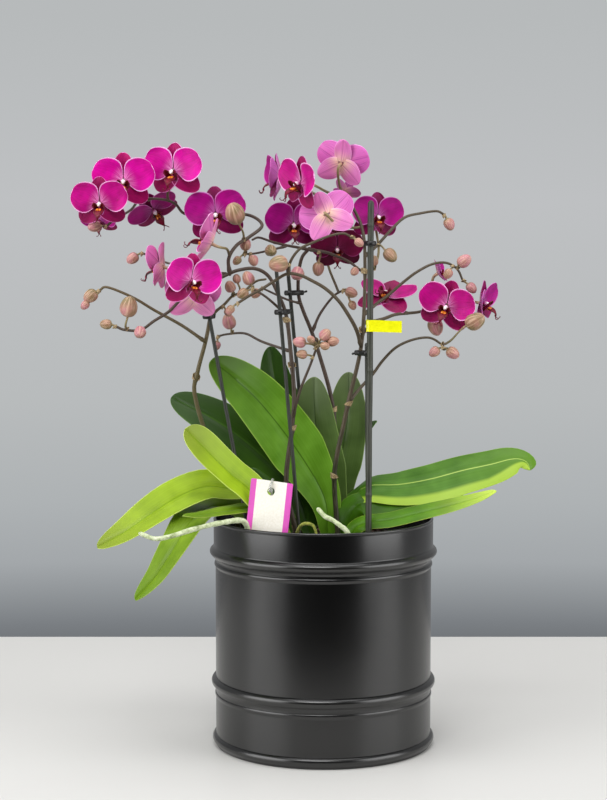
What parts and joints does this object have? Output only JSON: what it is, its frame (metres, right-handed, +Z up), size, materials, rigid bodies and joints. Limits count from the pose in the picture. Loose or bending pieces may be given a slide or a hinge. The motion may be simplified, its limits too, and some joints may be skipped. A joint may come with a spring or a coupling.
{
  "type": "potted moth orchid group",
  "caption": "Flowering moth orchid group with arching spikes, buds, broad leaves, stakes and clips, planted in a black beaded sheet-metal planter.",
  "frame": {"origin": "middle of the planter's flat base", "axes": "+Z up along the planter's axis, -Y towards the front of the group, +X to the right as seen from the front"},
  "size_m": [0.4191, 0.2171, 0.5583],
  "materials": {
    "planter_enamel": "satin black enamel on rolled sheet steel",
    "pine_bark": "rough bark chips",
    "leaf_green": "waxy leaf, dark to yellow green",
    "spike_stem": "smooth stem, olive with a brown-mauve flush, tan-pink buds",
    "petal_magenta": "velvety petal, magenta face with a pale rim, pink reverse",
    "dyed_bamboo": "dark dyed cane",
    "black_plastic": "moulded clip",
    "air_root": "spongy silver-green root skin",
    "tag_card": "coated card with plain pink side bands",
    "yellow_film": "coated sticker folded round the cane"
  },
  "bodies": {
    "root": {"planter": "planter_enamel", "bark_bed": "pine_bark", "leaf_upright_front": "leaf_green", "leaf_left_dark": "leaf_green", "leaf_left_young": "leaf_green", "leaf_left_arching": "leaf_green", "leaf_left_hanging": "leaf_green", "leaf_left_low": "leaf_green", "leaf_behind_tag": "leaf_green", "leaf_back_tall": "leaf_green", "leaf_centre_olive": "leaf_green", "leaf_back_right": "leaf_green", "leaf_back_low": "leaf_green", "leaf_right_long": "leaf_green", "leaf_right_second": "leaf_green", "leaf_right_low": "leaf_green", "spike_left": "spike_stem", "spike_arching": "spike_stem", "spike_middle": "spike_stem", "spike_right": "spike_stem", "flower_01": "petal_magenta", "flower_02": "petal_magenta", "flower_03": "petal_magenta", "flower_04": "petal_magenta", "flower_05": "petal_magenta", "flower_06": "petal_magenta", "flower_07": "petal_magenta", "flower_08": "petal_magenta", "flower_09": "petal_magenta", "flower_10": "petal_magenta", "flower_11": "petal_magenta", "flower_12": "petal_magenta", "flower_13": "petal_magenta", "flower_14": "petal_magenta", "flower_15": "petal_magenta", "flower_16": "petal_magenta", "flower_17": "petal_magenta", "flower_18": "petal_magenta", "flower_19": "petal_magenta", "flower_20": "petal_magenta", "flower_21": "petal_magenta", "flower_22": "petal_magenta", "stake_left": "dyed_bamboo", "stake_centre_front": "dyed_bamboo", "stake_centre_back": "dyed_bamboo", "stake_right_bamboo": "dyed_bamboo", "stake_right_thin": "dyed_bamboo", "clip_left": "black_plastic", "clip_centre_front": "black_plastic", "clip_centre_back": "black_plastic", "clip_right_top": "black_plastic", "clip_right_low": "black_plastic", "air_root_left": "air_root", "air_root_front": "air_root", "air_root_hook": "air_root", "plant_tag": "tag_card", "stake_label": "yellow_film"}
  },
  "joints": []
}
